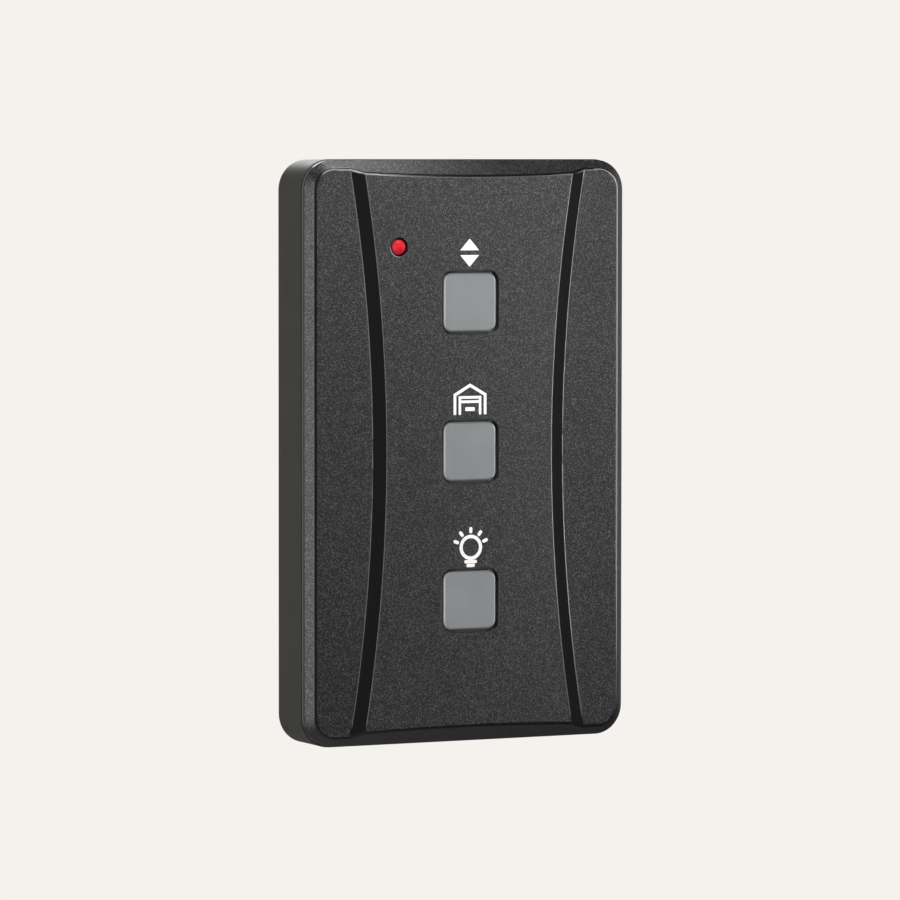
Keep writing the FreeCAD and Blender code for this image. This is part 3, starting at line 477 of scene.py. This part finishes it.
def where_all(tree, mask, *others):
    """Mask that holds where all the given ones do."""
    for other in others:
        mask = math_node(tree, "MULTIPLY", mask, other)
    return mask


cover_finish, tree, shader, places = new_finish("cover_plastic")
across = part_of(tree, places["Object"], "X")
height = part_of(tree, places["Object"], "Z")
depth = math_node(tree, "MULTIPLY", part_of(tree, places["Object"], "Y"), -1.0)
slope = math_node(tree, "MULTIPLY", part_of(tree, places["Normal"], "Y"), -1.0)
upward = part_of(tree, places["Normal"], "Z")

face = ramp_between(tree, slope, *FACE_SLOPE)
panel = ramp_between(tree, depth, *PANEL_DEPTH)
bevel = ramp_between(tree, off_by(tree, slope, BEVEL_SLOPE), *BEVEL_SPREAD, 1.0, 0.0)
grained = math_node(tree, "MAXIMUM", face, bevel)
ramp_highlight_mask = where_all(
    tree,
    ramp_between(tree, slope, *RAMP_LINE_SLOPE),
    ramp_between(tree, math_node(tree, "ABSOLUTE", across), *RAMP_LINE_REACH, 1.0, 0.0),
    math_node(tree, "SUBTRACT", 1.0, face),
    ramp_between(tree, height, *RAMP_LINE_FOOT))
right_rim_highlight_mask = where_all(
    tree,
    ramp_between(tree, slope, *RIM_STEEPEST),
    ramp_between(tree, across, *RIM_START),
    ramp_between(tree, slope, *RIM_FLATTEST, 1.0, 0.0),
    ramp_between(tree, height, *RIM_FOOT),
    ramp_between(tree, height, *RIM_FADE, RIM_LOW_SHARE, 1.0))
from_lamp = from_point(tree, places["Object"], lamp_middle.x, lamp_middle.z)
right_of_lamp = math_node(tree, "SUBTRACT", across, lamp_middle.x)
above_lamp = math_node(tree, "SUBTRACT", height, lamp_middle.z)
lamp_hole_highlight_mask = where_all(
    tree,
    ramp_between(tree, off_by(tree, from_lamp, LAMP_LINE_RADIUS), *LAMP_LINE_WIDTH, 1.0, 0.0),
    ramp_between(tree, math_node(tree, "ADD", right_of_lamp, above_lamp), *LAMP_LINE_SIDE, 1.0, 0.0))
skirt_highlight_mask = where_all(
    tree,
    ramp_between(tree, slope, *SKIRT_SLOPE, 1.0, 0.0),
    ramp_between(tree, depth, *SKIRT_DEPTH, 1.0, 0.0),
    ramp_between(tree, upward, *SKIRT_UNDERSIDE))

black = blend(tree, face, POLISHED_BLACK, blend(tree, panel, LOBE_BLACK, FACE_BLACK))
# The bevel's underside gets a painted lighter black.
bevel_black_with_painted_underside = blend(tree, ramp_between(tree, upward, *BEVEL_UNDERSIDE), BEVEL_UNDERSIDE_PAINTED_LIGHT, BEVEL_BLACK)
black = blend(tree, bevel, black, bevel_black_with_painted_underside)
# The painted highlight lines go into the black here.
for line, grey in ((ramp_highlight_mask, RAMP_PAINTED_HIGHLIGHT), (right_rim_highlight_mask, RIM_PAINTED_HIGHLIGHT), (lamp_hole_highlight_mask, LAMP_HOLE_PAINTED_HIGHLIGHT),
                   (skirt_highlight_mask, SKIRT_PAINTED_HIGHLIGHT)):
    black = blend(tree, line, black, grey)

pits = add_node(tree, "TexVoronoi", {"Vector": places["Object"], "Scale": 1 / GRAIN_SIZE}).outputs
# spark is a random number per pit: it sets the painted glints and the pit's own specular level.
spark = part_of(tree, pits["Color"], "X")
# Painted glints: the brightest pits get a light speck in the base colour, weaker on the lobes and fading on the
# bevel's underside.
painted_glints = math_node(tree, "MULTIPLY", math_node(tree, "POWER", spark, PAINTED_GLINT_SHARPNESS), grained)
bevel_share = ramp_between(tree, upward, *PAINTED_GLINT_UNDERSIDE, 0.0, BEVEL_PAINTED_GLINT)
share = math_node(tree, "MINIMUM", mixed(tree, panel, LOBE_PAINTED_GLINT, 1.0), mixed(tree, bevel, 1.0, bevel_share))
strength = math_node(tree, "MULTIPLY", painted_glints, share)
clouds = mottle(tree, places["Object"], COVER_CLOUD, CLOUD_DETAIL)
grain_gloss = ramp_between(tree, clouds, *CLOUD_GLOSSES, *GRAIN_GLOSSES)
grain_height = math_node(tree, "MULTIPLY", pits["Distance"], grained)
feed(tree, shader,
     Base_Color=blend(tree, strength, black, GRAIN_PAINTED_GLINT),
     Roughness=mixed(tree, grained, POLISH_GLOSS, grain_gloss),
     Specular_IOR_Level=mixed(tree, grained, POLISH_SHINE, mixed(tree, spark, *PIT_SHINES)),
     Normal=relief(tree, grain_height, GRAIN_DEPTH, round_edge(tree, COVER_EDGE)))
dress(cover_finish, "front_cover")


# Pictograms: a few hundredths of a millimetre of white ink, pad-printed on the panel above each key. The two
# arrows, the garage and the bulb are generic signs.
INK_WHITE = (0.9, 0.89, 0.87, 1)
INK_THIN = (0.84, 0.83, 0.81, 1)
INK_GLOSS = 0.5
INK_SKIN = (0.2 * MM, 0.004 * MM)
INK_EDGE = 0.01 * MM
INK_PROUD = 0.02 * MM
INK_SUNK = 0.04 * MM
INK_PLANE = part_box("front_cover")[0].y - INK_PROUD
FACING_FRONT = (math.pi / 2, 0, 0)
CORNER_STEPS = 4
NEAR = 0.1 * MM

ARROW_MIDDLE = -0.29 * MM
ARROW_WIDTH = 4.15 * MM
ARROW_HEIGHT = 2.3 * MM
ARROW_FOOT = 39.37 * MM
ARROW_TURN_POINT = 38.91 * MM
ARROW_ROUND = 0.12 * MM

HOUSE_SIDES = (-3.79 * MM, 3.45 * MM)
HOUSE_EAVES = 11.3 * MM
HOUSE_RIDGE = 13.33 * MM
HOUSE_FOOT = 7.2 * MM
HOUSE_STROKE = 0.6 * MM
GATE_SIDES = (-2.69 * MM, 2.32 * MM)
GATE_HEAD = 10.89 * MM
GATE_STROKE = 0.55 * MM
GATE_RAIL = 9.5 * MM
GATE_OPEN = GATE_SIDES[1] - 1.2 * GATE_STROKE
HANDLE = (-1.23 * MM, 0.86 * MM, 7.93 * MM, 8.71 * MM)
HANDLE_ROUND = 0.2 * MM
STROKE_ROUND = 0.45

BULB_X = 0.03 * MM
BULB_Z = -18.79 * MM
BULB_RADIUS = 2.48 * MM
BULB_STROKE = 0.7 * MM
BULB_STEPS = 56
BULB_NECK = (-1.38 * MM, 1.38 * MM, -21.95 * MM, -21.25 * MM)
BULB_TIP = (-0.92 * MM, 0.92 * MM, -22.68 * MM, -22.01 * MM)
BAR_ROUND = 0.3 * MM
RAY_START = 2.75 * MM
RAY_LENGTH = 1.25 * MM
RAY_WIDTH = 0.68 * MM
RAY_ROUND = 0.46 * RAY_WIDTH
RAY_ANGLES = (22, 54, 90, 128, 161)


def pick(piece, kind, test):
    """Selects the corners or the faces of the piece in hand whose middle passes a test."""
    bpy.ops.object.mode_set(mode="EDIT")
    bpy.ops.mesh.select_mode(type=kind)
    bpy.ops.mesh.select_all(action="DESELECT")
    mesh = bmesh.from_edit_mesh(piece.data)
    for part in mesh.verts if kind == "VERT" else mesh.faces:
        corners = [part] if kind == "VERT" else list(part.verts)
        middle = sum((corner.co for corner in corners), Vector()) / len(corners)
        part.select_set(test(middle))
    bmesh.update_edit_mesh(piece.data)


def flat_shape(name, corners, width, height, place):
    """Flat patch that faces the front, from a circle of so many corners stretched to a width and height."""
    bpy.ops.object.select_all(action="DESELECT")
    bpy.ops.mesh.primitive_circle_add(
        vertices=corners, radius=1, fill_type="NGON", rotation=FACING_FRONT, location=place)
    patch = bpy.context.object
    patch.name = name
    patch.scale = (width, height, 1)
    bpy.ops.object.transform_apply(location=True, rotation=True, scale=True)
    return patch


def triangle(name, width, height, place):
    """Triangle with its tip up. At a radius of 1 it would be the root of 3 wide and 1.5 high."""
    return flat_shape(name, 3, width / math.sqrt(3), height / 1.5, place)


def ink_blank(left, right, low, high):
    """Flat patch of ink on the panel, left in edit mode."""
    bpy.ops.object.select_all(action="DESELECT")
    middle = ((left + right) / 2, INK_PLANE, (low + high) / 2)
    bpy.ops.mesh.primitive_plane_add(size=1, location=middle, rotation=FACING_FRONT)
    patch = bpy.context.object
    patch.scale = (right - left, high - low, 1)
    bpy.ops.object.transform_apply(location=True, rotation=True, scale=True)
    bpy.ops.object.mode_set(mode="EDIT")
    return patch


def cut_across(place, way, **cleared):
    """Cuts the whole piece in hand along a plane, and clears one side of it if asked."""
    bpy.ops.mesh.select_all(action="SELECT")
    bpy.ops.mesh.bisect(plane_co=place, plane_no=way, **cleared)


def round_corners(piece, radius, test=lambda place: True):
    """Rounds the corners of a flat patch that pass a test."""
    pick(piece, "VERT", test)
    bpy.ops.mesh.bevel(offset=radius, segments=CORNER_STEPS, affect="VERTICES")


def thicken(patch, depth=INK_PROUD + INK_SUNK):
    """Gives a flat patch a thickness along Y, by default the ink's, down into the panel."""
    bpy.ops.object.mode_set(mode="EDIT")
    bpy.ops.mesh.select_mode(type="FACE")
    bpy.ops.mesh.select_all(action="SELECT")
    bpy.ops.mesh.extrude_region_move(TRANSFORM_OT_translate={"value": (0, depth, 0)})
    bpy.ops.mesh.select_all(action="SELECT")
    bpy.ops.mesh.normals_make_consistent(inside=False)
    bpy.ops.object.mode_set(mode="OBJECT")


def turned_copy(patch, angle, x, z):
    """Copy of a patch with its own mesh, turned about a point of the panel."""
    copy = patch.copy()
    copy.data = patch.data.copy()
    bpy.context.collection.objects.link(copy)
    centre = Vector((x, 0, z))
    turn = Matrix.Rotation(angle, 4, "Y")
    copy.data.transform(Matrix.Translation(centre) @ turn @ Matrix.Translation(-centre))
    return copy


def one_print(name, patches):
    """Joins the patches of one pictogram into one piece that stays on the case."""
    bpy.ops.object.select_all(action="DESELECT")
    for patch in patches:
        patch.select_set(True)
    bpy.context.view_layer.objects.active = patches[0]
    bpy.ops.object.join()
    pictogram = bpy.context.object
    pictogram.name = name
    pictogram.data.materials.append(ink_finish)
    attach(pictogram, "case")


ink_finish = moulded_plastic("pictogram_ink", INK_THIN, INK_WHITE, INK_GLOSS, INK_SKIN, INK_EDGE)

arrow_place = (ARROW_MIDDLE, INK_PLANE, ARROW_FOOT + ARROW_HEIGHT / 3)
arrow = triangle("arrow", ARROW_WIDTH, ARROW_HEIGHT, arrow_place)
round_corners(arrow, ARROW_ROUND)
thicken(arrow)
one_print("pictogram_arrows", [arrow, turned_copy(arrow, math.pi, ARROW_MIDDLE, ARROW_TURN_POINT)])

house_middle = sum(HOUSE_SIDES) / 2
house = ink_blank(*HOUSE_SIDES, HOUSE_FOOT - 2 * HOUSE_STROKE, HOUSE_EAVES)
cut_across((house_middle, 0, 0), (1, 0, 0))
pick(house, "VERT", lambda place: abs(place.x - house_middle) < NEAR and place.z > HOUSE_EAVES - NEAR)
bpy.ops.transform.translate(value=(0, 0, HOUSE_RIDGE - HOUSE_EAVES))
pick(house, "FACE", lambda place: True)
bpy.ops.mesh.inset(thickness=HOUSE_STROKE)
bpy.ops.mesh.delete(type="FACE")
cut_across((0, 0, HOUSE_FOOT), (0, 0, 1), clear_inner=True)
round_corners(house, STROKE_ROUND * HOUSE_STROKE, lambda place: place.z < HOUSE_FOOT + NEAR)
thicken(house)

gate = ink_blank(*GATE_SIDES, HOUSE_FOOT, GATE_HEAD)
for x in (GATE_SIDES[0] + GATE_STROKE, GATE_SIDES[1] - GATE_STROKE):
    cut_across((x, 0, 0), (1, 0, 0))
for z in (GATE_HEAD - GATE_STROKE, GATE_RAIL + GATE_STROKE, GATE_RAIL):
    cut_across((0, 0, z), (0, 0, 1))
pick(gate, "FACE", lambda place: abs(place.x) < GATE_OPEN and (
    place.z < GATE_RAIL or GATE_RAIL + GATE_STROKE < place.z < GATE_HEAD - GATE_STROKE))
bpy.ops.mesh.delete(type="FACE")
round_corners(gate, STROKE_ROUND * GATE_STROKE, lambda place: place.z < HOUSE_FOOT + NEAR)
thicken(gate)

handle = ink_blank(*HANDLE)
round_corners(handle, HANDLE_ROUND)
thicken(handle)
one_print("pictogram_garage", [house, gate, handle])

bulb = flat_shape("bulb", BULB_STEPS, BULB_RADIUS, BULB_RADIUS, (BULB_X, INK_PLANE, BULB_Z))
pick(bulb, "FACE", lambda place: True)
bpy.ops.mesh.inset(thickness=BULB_STROKE)
bpy.ops.mesh.delete(type="FACE")
thicken(bulb)
bars = []
for bar in (BULB_NECK, BULB_TIP):
    bars.append(ink_blank(*bar))
    round_corners(bars[-1], BAR_ROUND)
    thicken(bars[-1])
ray_foot = BULB_Z + RAY_START
ray = ink_blank(BULB_X - RAY_WIDTH / 2, BULB_X + RAY_WIDTH / 2, ray_foot, ray_foot + RAY_LENGTH)
round_corners(ray, RAY_ROUND)
thicken(ray)
rays = [turned_copy(ray, math.radians(90 - angle), BULB_X, BULB_Z) for angle in RAY_ANGLES]
bpy.data.objects.remove(ray)
one_print("pictogram_bulb", [bulb] + bars + rays)


# Key caps: satin grey mouldings, each trapped behind the panel by a flange and free to slide in its guide. Their
# rounded edges are polished, and a highlight line is painted on the left and the right edge, brighter on the
# right.
KEY_GREY = (0.202, 0.212, 0.217, 1)
KEY_GREY_WORN = (0.222, 0.232, 0.237, 1)
# Painted highlights on the left and the right edge of each key.
KEY_PAINTED_HIGHLIGHT_LEFT = (0.36, 0.365, 0.365, 1)
KEY_PAINTED_HIGHLIGHT_RIGHT = (0.85, 0.86, 0.86, 1)
KEY_GLOSS = 0.32
KEY_EDGE_GLOSS = 0.13
# The share of a normal that points along Y: -1 on the flat front, nearer 0 down the rounded edge.
KEY_EDGE_SLOPE = (-0.99, -0.95)
KEY_EDGE_ROUND = 0.45 * MM
KEY_EDGE_SAMPLES = 8
KEY_EDGE_WIDTH = 0.4 * MM
KEY_EDGE_FADE = 0.1 * MM
KEY_EDGE_REACH = (0.9 * MM, 0.4 * MM)
KEY_HALF = 5.75 * MM
KEY_CORNER = 1.8 * MM
KEY_PITCH = 29.2 * MM
KEY_GRAIN = 0.3 * MM
KEY_GRAIN_DEPTH = 0.003 * MM

key_finish, tree, shader, places = new_finish("key_plastic")
across = part_of(tree, places["Object"], "X")
aside = math_node(tree, "ABSOLUTE", across)
nearest_key = {0: part_of(tree, places["Object"], "Z"), 1: KEY_PITCH / 2, 2: -KEY_PITCH / 2}
along = math_node(tree, "ABSOLUTE", add_node(tree, "Math", nearest_key, operation="WRAP").outputs[0])
past_corner = [
    math_node(tree, "MAXIMUM", math_node(tree, "SUBTRACT", way, KEY_HALF - KEY_CORNER), 0.0)
    for way in (aside, along)]
squares = [math_node(tree, "POWER", past, 2.0) for past in past_corner]
from_corner = math_node(tree, "SQRT", math_node(tree, "ADD", *squares))
line_start = KEY_CORNER - KEY_EDGE_WIDTH
# Painted highlights: a band along the keys' left and right edges, lighter on the right, painted into the grey.
edge = where_all(
    tree,
    ramp_between(tree, from_corner, line_start, line_start + KEY_EDGE_FADE),
    ramp_between(tree, aside, *(KEY_HALF - reach for reach in KEY_EDGE_REACH)))
to_right = ramp_between(tree, across, -KEY_HALF / 2, KEY_HALF / 2)
clouds = mottle(tree, places["Object"], MOULD_CLOUD, CLOUD_DETAIL)
grey = blend(tree, ramp_between(tree, clouds, *CLOUD_TONES), KEY_GREY, KEY_GREY_WORN)
slope = part_of(tree, places["Normal"], "Y")
skin = mottle(tree, places["Object"], KEY_GRAIN, SKIN_DETAIL)
feed(tree, shader,
     Base_Color=blend(tree, edge, grey, blend(tree, to_right, KEY_PAINTED_HIGHLIGHT_LEFT, KEY_PAINTED_HIGHLIGHT_RIGHT)),
     Roughness=ramp_between(tree, slope, *KEY_EDGE_SLOPE, KEY_GLOSS, KEY_EDGE_GLOSS),
     Normal=relief(tree, skin, KEY_GRAIN_DEPTH, round_edge(tree, KEY_EDGE_ROUND, KEY_EDGE_SAMPLES)))
dress(key_finish, "key_cap_arrows", "key_cap_garage", "key_cap_bulb")


# Screws: self-tapping, of zinc-plated steel. Four hold the board on the case's posts, and four deeper ones are
# driven from the back through the case into the cover's bosses.
ZINC_BRIGHT = (0.64, 0.64, 0.62, 1)
ZINC_DULL = (0.45, 0.45, 0.44, 1)
ZINC_GLOSS = 0.3

screw_finish = plated_metal("screw_steel", ZINC_BRIGHT, ZINC_DULL, ZINC_GLOSS, NOT_DRAWN)
dress(screw_finish, "cover_screws", "board_screws")


# Coin cell: a can of nickel-plated steel towards the door, with a smaller cap towards the board. It is pushed
# into its holder from the back.
NICKEL_BRIGHT = (0.78, 0.78, 0.76, 1)
NICKEL_DULL = (0.66, 0.66, 0.64, 1)
NICKEL_GLOSS = 0.22

cell_finish = plated_metal("cell_steel", NICKEL_BRIGHT, NICKEL_DULL, NICKEL_GLOSS, NOT_DRAWN)
dress(cell_finish, "coin_cell")


# Battery door: a round lid of the case's plastic, held by three tabs and turned shut by a coin. A raised
# pointer shows how it stands, against two signs sunk in the case beside it: a dot for shut, a ring for open.
DOOR_TURN = math.radians(45)
SIGN_REACH = 15.2 * MM
SIGN_RADIUS = 0.75 * MM
SIGN_EDGE = 0.15 * MM
SIGN_RING = 0.1 * MM
SIGN_DEPTH = 0.12 * MM
POINTER_WIDTH = 2.2 * MM
POINTER_HEIGHT = 1.7 * MM
POINTER_REACH = 11.2 * MM
POINTER_PROUD = 0.1 * MM
POINTER_ROUND = 0.15 * MM
door_low, door_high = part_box("battery_door")
door_middle = (door_low + door_high) / 2
open_x = door_middle.x + SIGN_REACH * math.sin(DOOR_TURN)
open_z = door_middle.z + SIGN_REACH * math.cos(DOOR_TURN)

tree = case_finish.node_tree
shader = tree.nodes["Principled BSDF"]
place = add_node(tree, "TexCoord").outputs["Object"]
from_dot = from_point(tree, place, door_middle.x, door_middle.z + SIGN_REACH)
dot = ramp_between(tree, from_dot, SIGN_RADIUS - SIGN_EDGE, SIGN_RADIUS)
from_ring = off_by(tree, from_point(tree, place, open_x, open_z), SIGN_RADIUS)
ring = ramp_between(tree, from_ring, SIGN_RING, SIGN_RING + SIGN_EDGE)
skin = shader.inputs["Normal"].links[0].from_socket
feed(tree, shader, Normal=relief(tree, where_all(tree, dot, ring), SIGN_DEPTH, skin))

pointer_z = door_middle.z + POINTER_REACH - POINTER_HEIGHT / 2
pointer_place = (door_middle.x, door_high.y + POINTER_PROUD, pointer_z)
pointer = triangle("door_pointer", POINTER_WIDTH, POINTER_HEIGHT, pointer_place)
round_corners(pointer, POINTER_ROUND)
thicken(pointer, -2 * POINTER_PROUD)
pointer.data.materials.append(case_finish)
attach(pointer, "battery_door")


bpy.context.scene.view_settings.view_transform = "Standard"
